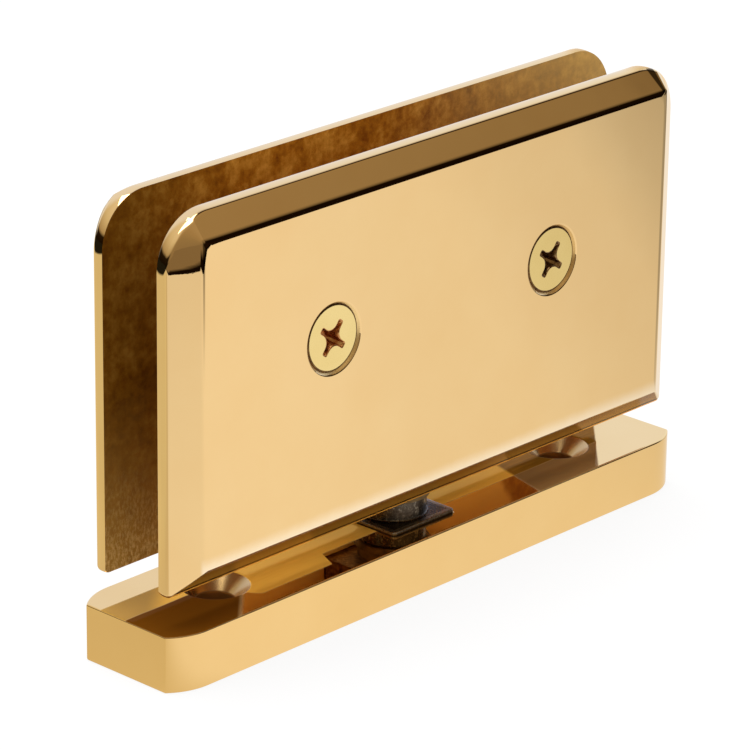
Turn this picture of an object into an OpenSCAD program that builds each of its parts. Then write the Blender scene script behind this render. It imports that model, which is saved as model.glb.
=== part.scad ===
// Pivot hinge for a frameless glass door.
// A base plate carries a fixed spindle, and a leaf of two bevelled plates that clamp the glass
// swings round it on a bored block. Two spring plungers press on flats of the spindle.
// Origin: centre of the base plate's underside. X runs along the hinge, Y from front to rear.

/* [Base plate] */
// Length of the base plate
base_l = 130; // [112:1:160]
// Depth of the base plate, front to rear
base_d = 24.5; // [20:0.5:32]
// Height of the base plate
base_h = 10.3; // [8.5:0.1:14]
// Radius of the corner arcs, which are tangent to the long sides
base_corner_r = 11; // [6:0.5:12]
// Length of each corner arc along the long side
base_corner_run = 7.4; // [3:0.1:9]
// Distance between the two mounting screw holes
base_hole_spacing = 88; // [70:1:96]
// Bore of the mounting screw holes
base_hole_d = 6.6; // [5:0.1:7]
// Mouth of the mounting holes' countersinks
base_sink_d = 12.4; // [10:0.1:14]

/* [Clamp plates] */
// Length of both clamp plates
plate_l = 127; // [105:1:155]
// Height of both clamp plates
plate_h = 66; // [55:1:80]
// Thickness of the plates at their flat face
plate_t = 5.5; // [5:0.1:8]
// Thickness left at the rim, outside the bevel
rim_t = 2; // [1:0.1:3]
// Width of the bevel along the top and the bottom
bevel_z = 4.3; // [2:0.1:7]
// Width of the bevel at both ends
bevel_x = 5.6; // [2:0.1:8]
// Radius of the two top corners
top_corner_r = 9.5; // [5:0.5:14]
// Radius of the two bottom corners
foot_corner_r = 1; // [0.5:0.1:3]
// Space between the plates, for the glass and its gaskets
glass_gap = 12.7; // [12.4:0.1:16]
// Clear height between the base plate and the clamp plates
leaf_lift = 5.9; // [4.5:0.1:9]

/* [Clamp screws] */
// Distance between the two clamp screws
clamp_spacing = 55.4; // [46:0.2:70]
// Height of the clamp screws above the plates' lower edge
clamp_up = 37.4; // [31:0.2:46]
// Thread diameter of the clamp screws
clamp_screw_d = 6; // [5:0.5:6]
// Head diameter of the clamp screws
clamp_head_d = 12; // [11:0.1:12.4]
// Depth of the heads below the plate's face
clamp_head_sunk = 0.35; // [0.1:0.05:0.8]
// Turn of the left screw's cross recess
clamp_turn_left = 37; // [0:1:89]
// Turn of the right screw's cross recess
clamp_turn_right = 35; // [0:1:89]
// Diameter of the tapped bosses on the rear plate
boss_d = 10; // [9:0.5:10]
// Height of the tapped bosses
boss_h = 4.2; // [2:0.1:6]

/* [Spindle] */
// Width of the square flange that is seated in the base plate
flange_w = 15.8; // [14:0.1:18]
// Thickness of the square flange
flange_t = 3.3; // [2.5:0.1:4.5]
// Height of the flange above the base plate
flange_proud = 0.7; // [0.3:0.1:1.5]
// Diameter of the shoulder that carries the leaf
shoulder_d = 12.2; // [10:0.1:14.6]
// Thickness of the thrust washer on the shoulder
washer_t = 1.2; // [0.8:0.1:1.6]
// Diameter of the journal
journal_d = 10; // [8.2:0.1:10.6]
// Depth of each self-centring flat
flat_depth = 0.4; // [0.2:0.1:0.8]
// Diameter of the top journal
top_journal_d = 8; // [6.6:0.1:8]

/* [Pivot block] */
// Width of the block
block_w = 44; // [42:0.5:53]
// Height of the block's underside above the plates' lower edge
block_up = 1.55; // [0.8:0.05:3]
// Width of the neck round the lower bush
neck_w = 21; // [18:0.5:26]
// Height of the neck
neck_h = 5; // [3:0.5:8]
// Depth of the pockets that locate the block in both plates
pocket_depth = 0.8; // [0.5:0.1:1.2]
// Wall of the lower bush
lower_bush_wall = 0.95; // [0.6:0.05:1.1]
// Length of the lower bush inside the block
lower_bush_l = 10; // [8:0.5:11]
// Height of the plungers above the block's underside
plunger_up = 16.5; // [16:0.1:20]
// Wall of the upper bush
upper_bush_wall = 1.45; // [1:0.05:1.6]
// Length of the upper bush
upper_bush_l = 6; // [4:0.5:8]
// Diameter of the bore for the cap above the upper bush
cap_bore_d = 12.4; // [12:0.1:12.6]

/* [Plungers] */
// Diameter of the plungers
plunger_d = 8; // [6.6:0.1:9.6]
// Length of a plunger's head
plunger_head_l = 5.5; // [4.5:0.1:6]
// Diameter of the stem that guides the spring
plunger_stem_d = 3.6; // [2.6:0.1:3.8]
// Length of the stem
plunger_stem_l = 4; // [2:0.1:5]
// Wire of the springs
spring_wire_d = 1; // [0.8:0.1:1.1]
// Turns of the springs, with the closed turn at each end
spring_turns = 5; // [4:0.5:5.5]
// Length of a closing plug
plug_l = 3.6; // [3:0.1:4.4]

/* [Hidden] */
$fn = 96;

// Clearances
run_gap = 0.05;      // between faces and round walls that turn or slide on each other
seat_gap = 0.02;     // round pieces that stay put in their bores
pocket_gap = 0.1;    // round the flange and the block in their pockets
head_gap = 0.04;     // radially round countersunk heads in their countersinks
head_edge = 0.1;     // straight edge of a countersunk head above its cone
step_gap = 0.4;      // between the thrust washer and the swinging plates
cut = 1;             // how far a cut runs past the surface it opens
skin = 0.01;         // thickness of the slices that a hull is drawn between

// Colours
polished_brass = [0.93, 0.75, 0.42];
raw_brass = [0.62, 0.44, 0.2];
blackened = [0.2, 0.18, 0.16];
bronze = [0.6, 0.42, 0.24];
steel = [0.72, 0.72, 0.74];

// Heights
flange_z = base_h + flange_proud - flange_t;
shoulder_z = base_h + flange_proud;
leaf_z = base_h + leaf_lift;
washer_z = leaf_z - step_gap - washer_t;
lower_bush_z = washer_z + washer_t + run_gap;
block_z = leaf_z + block_up;
cam_z = block_z + plunger_up;
clamp_z = leaf_z + clamp_up;

// Base plate
corner_r = min(base_corner_r, base_d / 2 - 0.5);
corner_run = min(base_corner_run, corner_r - 0.5);
sink_depth = (base_sink_d - base_hole_d) / 2;

// Spindle and its screw
washer_d = shoulder_d + 1.2;
journal_top_z = cam_z + plunger_d / 2 + 1.2;
ring_groove_r = top_journal_d / 2 - 0.3;
spindle_screw_d = 6;
spindle_head_d = 12;
spindle_screw_sunk = 0.2;
spindle_tap_l = 10;

// Bushes, and the washer, ring and cap above them
lower_bush_d = journal_d + 2 * run_gap + 2 * lower_bush_wall;
upper_bush_d = top_journal_d + 2 * run_gap + 2 * upper_bush_wall;
upper_bush_up = plunger_up + plunger_d / 2 + 2;
ledge_up = upper_bush_up + upper_bush_l;
keeper_t = 0.8;
ring_t = 0.9;
ring_z = block_z + ledge_up + run_gap + keeper_t + run_gap;
spindle_top_z = ring_z + ring_t + 1;
cap_t = 2;
cap_gap = 0.7;
block_h = spindle_top_z - block_z + cap_gap + cap_t;

// Block, plates and screws
block_t = glass_gap + 2 * pocket_depth;
block_edge_r = 1.5;
cam_bore_d = journal_d + 0.6;
outer_y = glass_gap / 2 + plate_t;
clamp_x = max(clamp_spacing / 2, block_w / 2 + boss_d / 2 + 0.5);
clamp_bore_d = clamp_screw_d + 0.6;
clamp_tip_y = outer_y - 1.6;
tap_wall = 1.3;
block_screw_d = 4;
block_screw_head_d = 8;
block_screw_sunk = 0.2;
block_screw_x = block_w / 2 - 7;
block_screw_up = block_h - 5;

// Plungers, springs and plugs, measured out from the spindle's axis
nose_x = journal_d / 2 + 0.03;
spring_x = nose_x + plunger_head_l + 0.07;
plug_x = block_w / 2 - 0.2 - plug_l;
spring_l = plug_x - 0.1 - spring_x;
spring_mean_r = plunger_d / 2 - 0.3 - spring_wire_d / 2;
plug_d = plunger_d + 1;

// A rectangle with four round corners, centred on the origin
module round_rect(l, w, r) {
    square([l - 2 * r, w], center = true);
    square([l, w - 2 * r], center = true);
    for (sx = [-1, 1], sy = [-1, 1])
        translate([sx * (l / 2 - r), sy * (w / 2 - r)])
            circle(r = r);
}

// Mouth of the countersink that takes a head of this size, sunk this far below the face
function mouth(head_d, sunk) = head_d + 2 * (sunk + head_edge + head_gap);

// A countersink cone that opens upwards at z = 0, with its bore running down from it
module countersunk_hole(mouth_d, bore_d, depth) {
    cone_h = (mouth_d - bore_d) / 2;
    translate([0, 0, -cone_h])
        cylinder(h = cone_h, d1 = bore_d, d2 = mouth_d);
    translate([0, 0, -skin])
        cylinder(h = cut, d = mouth_d);
    translate([0, 0, -depth])
        cylinder(h = depth - cone_h + skin, d = bore_d);
}

// A countersunk screw that hangs down from z = 0, without its drive
module countersunk_screw(head_d, thread_d, length) {
    cone_h = (head_d - thread_d) / 2;
    tip = 0.5;
    rotate_extrude()
        polygon([[0, 0], [head_d / 2, 0], [head_d / 2, -head_edge],
                 [thread_d / 2, -cone_h - head_edge], [thread_d / 2, -length + tip],
                 [thread_d / 2 - tip, -length], [0, -length]]);
}

// A cross recess sunk down from z = 0: two blades held inside a cone
module cross_recess(span, blade, depth) {
    intersection() {
        union() {
            translate([-span / 2, -blade / 2, -depth])
                cube([span, blade, depth + cut]);
            translate([-blade / 2, -span / 2, -depth])
                cube([blade, span, depth + cut]);
        }
        translate([0, 0, -depth])
            cylinder(h = depth + cut, r1 = blade * 0.75, r2 = span / 2 + cut);
    }
}

// A hexagon socket sunk down from z = 0
module hex_socket(across_flats, depth) {
    translate([0, 0, -depth])
        cylinder(h = depth + cut, d = across_flats / cos(30), $fn = 6);
}

// Outline of the base plate: arcs tangent to the long sides that meet the ends at an edge
module base_outline() {
    intersection() {
        square([base_l, base_d + cut], center = true);
        round_rect(base_l + 2 * (corner_r - corner_run), base_d, corner_r);
    }
}

module base_plate() {
    color(polished_brass)
        difference() {
            linear_extrude(base_h)
                base_outline();
            for (side = [-1, 1])
                translate([side * base_hole_spacing / 2, 0, base_h])
                    countersunk_hole(base_sink_d, base_hole_d, base_h + cut);
            // pocket of the spindle's square flange
            translate([0, 0, flange_z])
                linear_extrude(base_h)
                    round_rect(flange_w + 2 * pocket_gap, flange_w + 2 * pocket_gap, 1);
            // hole of the spindle's screw, from below
            rotate([180, 0, 0])
                countersunk_hole(mouth(spindle_head_d, spindle_screw_sunk), spindle_screw_d + 0.6,
                                 base_h);
        }
}

module spindle() {
    color(blackened)
        difference() {
            union() {
                translate([0, 0, flange_z])
                    linear_extrude(flange_t)
                        round_rect(flange_w, flange_w, 0.9);
                translate([0, 0, shoulder_z - skin])
                    cylinder(h = washer_z - shoulder_z + skin, d = shoulder_d);
                // journal, with the two flats that the plungers press on
                translate([0, 0, washer_z - skin])
                    difference() {
                        cylinder(h = journal_top_z - washer_z + skin, d = journal_d);
                        for (side = [-1, 1])
                            translate([side * (journal_d - flat_depth), 0, cam_z - washer_z])
                                cube([journal_d, journal_d, plunger_d + 1], center = true);
                    }
                // top journal with the ring's groove
                translate([0, 0, journal_top_z - skin])
                    cylinder(h = ring_z - run_gap - journal_top_z + skin, d = top_journal_d);
                translate([0, 0, ring_z - run_gap - skin])
                    cylinder(h = ring_t + 2 * run_gap + 2 * skin, r = ring_groove_r);
                translate([0, 0, ring_z + ring_t + run_gap])
                    cylinder(h = spindle_top_z - ring_z - ring_t - run_gap, d1 = top_journal_d,
                             d2 = top_journal_d - 1);
            }
            // tapped hole for the screw from below
            translate([0, 0, flange_z - cut])
                cylinder(h = spindle_tap_l + 1 + cut, d = spindle_screw_d + 2 * seat_gap);
        }
}

module spindle_screw() {
    color(steel)
        translate([0, 0, spindle_screw_sunk])
            rotate([180, 0, 0])
                difference() {
                    countersunk_screw(spindle_head_d, spindle_screw_d,
                                      flange_z - spindle_screw_sunk + spindle_tap_l);
                    hex_socket(4, 2);
                }
}

module thrust_washer() {
    color(bronze)
        translate([0, 0, washer_z])
            ring(washer_d, journal_d + 2 * run_gap, washer_t);
}

// A flat ring that stands on z = 0
module ring(outer_d, inner_d, h) {
    difference() {
        cylinder(h = h, d = outer_d);
        translate([0, 0, -cut])
            cylinder(h = h + 2 * cut, d = inner_d);
    }
}

module retaining_washer() {
    color(steel)
        translate([0, 0, block_z + ledge_up + run_gap])
            ring(cap_bore_d - 0.6, top_journal_d + 2 * run_gap, keeper_t);
}

// Open ring with an eye at each end, snapped into the spindle's groove
module retaining_ring() {
    eye_r = 1.1;
    inner_r = ring_groove_r + run_gap;
    outer_r = inner_r + 1.5;
    eye_at = outer_r - eye_r - 0.1;
    open_angle = 26;
    color(steel)
        translate([0, 0, ring_z])
            difference() {
                union() {
                    cylinder(h = ring_t, r = outer_r);
                    for (side = [-1, 1])
                        rotate([0, 0, side * (open_angle + 14)])
                            translate([eye_at + 0.35, 0, 0])
                                cylinder(h = ring_t, r = eye_r);
                }
                translate([0, 0, -cut])
                    cylinder(h = ring_t + 2 * cut, r = inner_r);
                translate([0, 0, -cut])
                    linear_extrude(ring_t + 2 * cut)
                        polygon([[0, 0], [2 * outer_r, -2 * outer_r * tan(open_angle)],
                                 [2 * outer_r, 2 * outer_r * tan(open_angle)]]);
                for (side = [-1, 1])
                    rotate([0, 0, side * (open_angle + 14)])
                        translate([eye_at + 0.35, 0, -cut])
                            cylinder(h = ring_t + 2 * cut, r = 0.5);
            }
}

// Outline of a clamp plate, standing on y = 0: large top corners, nearly square feet
module plate_outline() {
    flat_l = plate_l - 2 * top_corner_r;
    translate([-flat_l / 2, foot_corner_r])
        square([flat_l, plate_h - foot_corner_r]);
    translate([-plate_l / 2, foot_corner_r])
        square([plate_l, plate_h - top_corner_r - foot_corner_r]);
    translate([-plate_l / 2 + foot_corner_r, 0])
        square([plate_l - 2 * foot_corner_r, plate_h / 2]);
    for (side = [-1, 1]) {
        translate([side * flat_l / 2, plate_h - top_corner_r])
            circle(r = top_corner_r);
        translate([side * (plate_l / 2 - foot_corner_r), foot_corner_r])
            circle(r = foot_corner_r);
    }
}

// Blank of a clamp plate, lying on its inner face: an upright rim under a bevel whose corners
// fan out from the flat face's square corners to the rim's round ones
module plate_blank() {
    linear_extrude(rim_t)
        plate_outline();
    hull($fn = 48) {
        translate([0, 0, rim_t - skin])
            linear_extrude(skin)
                plate_outline($fn = 48);
        translate([-plate_l / 2 + bevel_x, bevel_z, plate_t - skin])
            cube([plate_l - 2 * bevel_x, plate_h - 2 * bevel_z, skin]);
    }
}

// Pocket that locates the pivot block, cut into a plate's inner face
module block_pocket() {
    bottom = block_z - leaf_z;
    translate([-block_w / 2 - pocket_gap, bottom + neck_h - pocket_gap, -cut])
        cube([block_w + 2 * pocket_gap, block_h - neck_h + 2 * pocket_gap, pocket_depth + cut]);
    translate([-neck_w / 2 - pocket_gap, bottom - pocket_gap, -cut])
        cube([neck_w + 2 * pocket_gap, neck_h + 2 * pocket_gap, pocket_depth + cut]);
}

// Stands a plate's blank up in front of the glass gap, with its face to the front
module stand_front() {
    translate([0, -glass_gap / 2, leaf_z])
        rotate([90, 0, 0])
            children();
}

module front_plate() {
    color(polished_brass)
        stand_front()
            difference() {
                plate_blank();
                block_pocket();
                for (side = [-1, 1])
                    translate([side * clamp_x, clamp_up, plate_t])
                        countersunk_hole(mouth(clamp_head_d, clamp_head_sunk), clamp_bore_d,
                                         plate_t + cut);
            }
}

module rear_plate() {
    tap_d = clamp_screw_d + 2 * seat_gap;
    color(polished_brass)
        mirror([0, 1, 0])
            stand_front()
                difference() {
                    union() {
                        plate_blank();
                        for (side = [-1, 1])
                            translate([side * clamp_x, clamp_up, -boss_h])
                                cylinder(h = boss_h + rim_t, d = boss_d);
                    }
                    block_pocket();
                    for (side = [-1, 1]) {
                        translate([side * clamp_x, clamp_up, -boss_h - cut])
                            cylinder(h = boss_h + cut + plate_t - tap_wall, d = tap_d);
                        translate([side * block_screw_x, block_z - leaf_z + block_screw_up, -cut])
                            cylinder(h = cut + plate_t - tap_wall, d = block_screw_d + 2 * seat_gap);
                    }
                }
}

module pivot_block() {
    color(raw_brass)
        translate([0, 0, block_z])
            difference() {
                union() {
                    linear_extrude(neck_h)
                        round_rect(neck_w, block_t, block_edge_r);
                    translate([0, 0, neck_h])
                        linear_extrude(block_h - neck_h)
                            round_rect(block_w, block_t, block_edge_r);
                }
                // stepped spindle bore: lower bush, cam, upper bush, ring and cap
                translate([0, 0, -cut])
                    cylinder(h = lower_bush_l + cut, d = lower_bush_d + 2 * seat_gap);
                translate([0, 0, -cut])
                    cylinder(h = block_h, d = cam_bore_d);
                translate([0, 0, upper_bush_up])
                    cylinder(h = block_h, d = upper_bush_d + 2 * seat_gap);
                translate([0, 0, ledge_up])
                    cylinder(h = block_h, d = cap_bore_d);
                // plunger bore from end to end, opened out for the two plugs
                translate([0, 0, plunger_up])
                    rotate([0, 90, 0]) {
                        cylinder(h = block_w + 2 * cut, d = plunger_d + 2 * run_gap, center = true);
                        for (side = [0, 180])
                            rotate([side, 0, 0])
                                translate([0, 0, plug_x - 0.1])
                                    cylinder(h = block_w, d = plug_d + 2 * seat_gap);
                    }
                for (side = [-1, 1])
                    translate([side * block_screw_x, -block_t / 2, block_screw_up])
                        rotate([90, 0, 0])
                            countersunk_hole(mouth(block_screw_head_d, block_screw_sunk),
                                             block_screw_d + 0.4, block_t + cut);
            }
}

module block_screws() {
    color(steel)
        for (side = [-1, 1])
            translate([side * block_screw_x, block_screw_sunk - block_t / 2,
                       block_z + block_screw_up])
                rotate([90, 0, 0])
                    difference() {
                        countersunk_screw(block_screw_head_d, block_screw_d,
                                          block_t - block_screw_sunk + plate_t - pocket_depth
                                          - tap_wall - 0.5);
                        hex_socket(2.5, 1.5);
                    }
}

// Clamp screw in its front plate hole, its head a little below the face
module clamp_screw(side, turn) {
    color(polished_brass)
        translate([side * clamp_x, clamp_head_sunk - outer_y, clamp_z])
            rotate([90, turn, 0])
                difference() {
                    countersunk_screw(clamp_head_d, clamp_screw_d,
                                      clamp_tip_y + outer_y - clamp_head_sunk);
                    cross_recess(clamp_head_d * 0.56, 1.5, 2.6);
                }
}

module clamp_screw_left() {
    clamp_screw(-1, clamp_turn_left);
}

module clamp_screw_right() {
    clamp_screw(1, clamp_turn_right);
}

module lower_bush() {
    color(bronze)
        translate([0, 0, lower_bush_z])
            ring(lower_bush_d, journal_d + 2 * run_gap, block_z - lower_bush_z + lower_bush_l);
}

module upper_bush() {
    color(bronze)
        translate([0, 0, block_z + upper_bush_up])
            ring(upper_bush_d, top_journal_d + 2 * run_gap, upper_bush_l);
}

module end_cap() {
    color(raw_brass)
        translate([0, 0, block_z + block_h - cap_t])
            cylinder(h = cap_t, d = cap_bore_d - 2 * seat_gap);
}

// Plunger on the right of the spindle: chamfered flat nose, head and spring stem
module plunger() {
    nose = 0.5;
    translate([nose_x, 0, cam_z])
        rotate([0, 90, 0])
            rotate_extrude()
                polygon([[0, 0], [plunger_d / 2 - nose, 0], [plunger_d / 2, nose],
                         [plunger_d / 2, plunger_head_l], [plunger_stem_d / 2, plunger_head_l],
                         [plunger_stem_d / 2, plunger_head_l + plunger_stem_l],
                         [0, plunger_head_l + plunger_stem_l]]);
}

module plunger_right() {
    color(steel)
        plunger();
}

module plunger_left() {
    color(steel)
        mirror([1, 0, 0])
            plunger();
}

// Coil spring right of the spindle, with its end turns closed up: a wire section of
// spring_sides points, carried round the helix in rings
spring_sides = 8;
spring_rings = 20;
function spring_rise(u) = let (closed = 1.06 * spring_wire_d / (spring_l - spring_wire_d))
    u < 1 / spring_turns ? u * spring_turns * closed :
    u > 1 - 1 / spring_turns ? 1 - (1 - u) * spring_turns * closed :
    closed + (u - 1 / spring_turns) / (1 - 2 / spring_turns) * (1 - 2 * closed);
function spring_point(ring, side) = let (
    u = ring / (spring_turns * spring_rings),
    turn = 360 * ring / spring_rings,
    r = spring_mean_r + spring_wire_d / 2 * cos(360 * side / spring_sides),
    along = spring_wire_d / 2 + spring_rise(u) * (spring_l - spring_wire_d))
    [spring_x + along + spring_wire_d / 2 * sin(360 * side / spring_sides),
     r * cos(turn), cam_z + r * sin(turn)];

module spring() {
    last = spring_turns * spring_rings;
    polyhedron(
        points = [for (ring = [0:last], side = [0:spring_sides - 1]) spring_point(ring, side)],
        faces = concat(
            [[for (side = [0:spring_sides - 1]) side]],
            [for (ring = [0:last - 1], side = [0:spring_sides - 1])
                let (here = ring * spring_sides, next = (side + 1) % spring_sides)
                [here + next, here + side, here + spring_sides + side, here + spring_sides + next]],
            [[for (side = [spring_sides - 1:-1:0]) last * spring_sides + side]]));
}

module spring_right() {
    color(steel)
        spring();
}

module spring_left() {
    color(steel)
        mirror([1, 0, 0])
            spring();
}

module spring_plug() {
    translate([plug_x, 0, cam_z])
        rotate([0, 90, 0])
            difference() {
                cylinder(h = plug_l, d = plug_d);
                translate([0, 0, plug_l])
                    hex_socket(4, 2);
            }
}

module spring_plug_right() {
    color(raw_brass)
        spring_plug();
}

module spring_plug_left() {
    color(raw_brass)
        mirror([1, 0, 0])
            spring_plug();
}

base_plate();
spindle();
spindle_screw();
thrust_washer();
retaining_washer();
retaining_ring();
front_plate();
rear_plate();
pivot_block();
block_screws();
clamp_screw_left();
clamp_screw_right();
lower_bush();
upper_bush();
end_cap();
spring_left();
spring_right();
spring_plug_left();
spring_plug_right();
plunger_left();
plunger_right();
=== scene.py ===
import math

import bmesh
import bpy
import numpy as np
from mathutils import Matrix, Vector
from mathutils.geometry import tessellate_polygon


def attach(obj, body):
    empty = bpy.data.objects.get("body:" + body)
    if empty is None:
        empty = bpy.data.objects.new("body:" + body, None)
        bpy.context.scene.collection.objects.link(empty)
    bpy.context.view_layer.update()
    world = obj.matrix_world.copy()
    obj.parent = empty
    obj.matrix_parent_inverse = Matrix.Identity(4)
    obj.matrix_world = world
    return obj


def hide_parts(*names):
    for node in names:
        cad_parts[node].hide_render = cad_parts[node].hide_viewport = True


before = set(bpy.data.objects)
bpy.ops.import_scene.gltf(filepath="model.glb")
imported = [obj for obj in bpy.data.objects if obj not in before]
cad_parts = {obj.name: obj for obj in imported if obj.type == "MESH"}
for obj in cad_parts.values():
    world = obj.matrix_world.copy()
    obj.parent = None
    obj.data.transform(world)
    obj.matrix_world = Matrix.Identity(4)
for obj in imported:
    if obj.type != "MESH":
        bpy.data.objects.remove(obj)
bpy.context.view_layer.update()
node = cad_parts
MM = 0.001


# ---------------------------------------------------------------- base plate
# A bar of solid brass, screwed down through two countersunk holes. It is sawn and milled,
# then polished all over by hand, which softens every edge a little. Its top has a square
# pocket for the spindle's flange, and its underside a countersunk hole for the spindle's screw.

def corner_path(groups, support=0.08):
    """Closed path in a plane, and its outward normals, from groups of arcs in turn.

    An arc is (centre x, centre y, radius, first angle, last angle, steps), with the angles those
    of the normal in degrees: point = centre + radius * (cos a, sin a). A negative radius makes a
    hollow corner. Straight lines join the groups, and each starts and ends in one more point
    beside the arc, so that the flats stay flat when they are shaded smooth."""
    points, normals = [], []
    for group in groups:
        for k, (cx, cy, radius, a0, a1, steps) in enumerate(group):
            a = np.radians(np.linspace(a0, a1, steps + 1))
            n = np.stack([np.cos(a), np.sin(a)], 1)
            p = np.array([cx, cy]) + radius * n
            if k:
                p, n = p[1:], n[1:]
            else:
                along = np.array([-n[0, 1], n[0, 0]])
                p, n = np.vstack([p[0] - support * along, p]), np.vstack([n[0], n])
            if k == len(group) - 1:
                along = np.array([-n[-1, 1], n[-1, 0]])
                p, n = np.vstack([p, p[-1] + support * along]), np.vstack([n, n[-1]])
            points.append(p)
            normals.append(n)
    return np.vstack(points), np.vstack(normals)


def four_corners(group):
    """The path of a shape with two axes of symmetry, from the arcs of its first corner. Each
    corner's angles start from an axis. A mirrored corner is followed backwards."""
    corners = []
    for sx, sy, start in ((1, 1, 0), (-1, 1, 180), (-1, -1, 180), (1, -1, 360)):
        way = sx * sy
        arcs = [(sx * cx, sy * cy, radius, start + way * a0, start + way * a1, steps)
                for cx, cy, radius, a0, a1, steps in group]
        if way < 0:
            arcs = [(*centre, a1, a0, steps) for *centre, a0, a1, steps in arcs[::-1]]
        corners.append(arcs)
    return corner_path(corners)


def circle(x, y, radius, count):
    """Points of a circle round (x, y): (x + r cos a, y + r sin a)."""
    a = np.linspace(0, 2 * np.pi, count, endpoint=False)
    return np.stack([x + radius * np.cos(a), y + radius * np.sin(a)], 1)


def lift(flat, height):
    """Puts a ring drawn in a plane at a height: (x, y) becomes (x, y, height)."""
    return np.column_stack([flat, np.broadcast_to(height, len(flat))])


def turned_rings(x, y, profile, count=72):
    """Rings of a turned shape round (x, y), from a profile of (radius, height) pairs."""
    return np.array([lift(circle(x, y, r, count), h) for r, h in profile])


def bend(a, b, c, steps=5):
    """Points of a parabola from a to c that is tangent to ab and bc:
    (1-t)^2 a + 2t(1-t) b + t^2 c. The arguments may be whole rings of points."""
    t = np.linspace(0, 1, steps + 1).reshape((-1,) + (1,) * np.ndim(a))
    return (1 - t) ** 2 * np.asarray(a) + 2 * t * (1 - t) * np.asarray(b) + t ** 2 * np.asarray(c)


class Skin:
    """One closed surface: rings of points, bands of quads between them, and flat fills."""

    def __init__(self, place=lambda p: p):
        self.place, self.points, self.faces, self.slots, self.count = place, [], [], [], 0

    def rings(self, stack, slot=0):
        """Adds a stack of closed rings (rings x points x 3) and joins each to the next."""
        stack = np.asarray(stack, float)
        rows, n = stack.shape[:2]
        at = self.count + np.arange(rows)[:, None] * n + np.arange(n)
        self.points.append(self.place(stack.reshape(-1, 3)))
        self.count += rows * n
        a, b = at[:-1], at[1:]
        quads = np.stack([a, np.roll(a, -1, 1), np.roll(b, -1, 1), b], -1).reshape(-1, 4)
        self.faces += quads.tolist()
        self.slots += [slot] * len(quads)
        return at[0], at[-1]

    def fill(self, *loops, slot=0):
        """Fills the flat between an outer ring and any holes in it."""
        points, used = np.vstack(self.points), np.concatenate(loops)
        thin = np.ptp(points[used], axis=0).argmin()
        flat = np.delete(points, thin, 1)
        lines = [[Vector((*flat[i], 0)) for i in loop] for loop in loops]
        tris = used[np.array(tessellate_polygon(lines))]
        self.faces += tris.tolist()
        self.slots += [slot] * len(tris)

    def piece(self, name, materials, body, stands_for):
        """The finished object, in metres, facing outwards and riding on its body."""
        mesh = bpy.data.meshes.new(name)
        mesh.from_pydata(np.vstack(self.points) * MM, [], self.faces)
        for material in materials:
            mesh.materials.append(material)
        mesh.polygons.foreach_set("material_index", self.slots)
        work = bmesh.new()
        work.from_mesh(mesh)
        bmesh.ops.remove_doubles(work, verts=work.verts, dist=1e-7)
        bmesh.ops.recalc_face_normals(work, faces=work.faces)
        work.to_mesh(mesh)
        work.free()
        mesh.polygons.foreach_set("use_smooth", [True] * len(mesh.polygons))
        mesh.set_sharp_from_angle(angle=math.radians(32))
        made = bpy.data.objects.new(name, mesh)
        bpy.context.scene.collection.objects.link(made)
        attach(made, body)
        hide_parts(*stands_for)


class Term:
    """A shader socket that can be written in sums: + - * and abs() add Math nodes."""

    def __init__(self, finish, socket):
        self.finish, self.socket = finish, socket

    def maths(self, operation, *values):
        settings, sockets = {"operation": operation}, dict(enumerate(values))
        return self.finish.add("ShaderNodeMath", settings, sockets)

    def __add__(self, o): return self.maths("ADD", self, o)
    def __radd__(self, o): return self.maths("ADD", o, self)
    def __sub__(self, o): return self.maths("SUBTRACT", self, o)
    def __rsub__(self, o): return self.maths("SUBTRACT", o, self)
    def __mul__(self, o): return self.maths("MULTIPLY", self, o)
    def __rmul__(self, o): return self.maths("MULTIPLY", o, self)
    def __abs__(self): return self.maths("ABSOLUTE", self)
    def larger(self, o): return self.maths("MAXIMUM", self, o)


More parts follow.
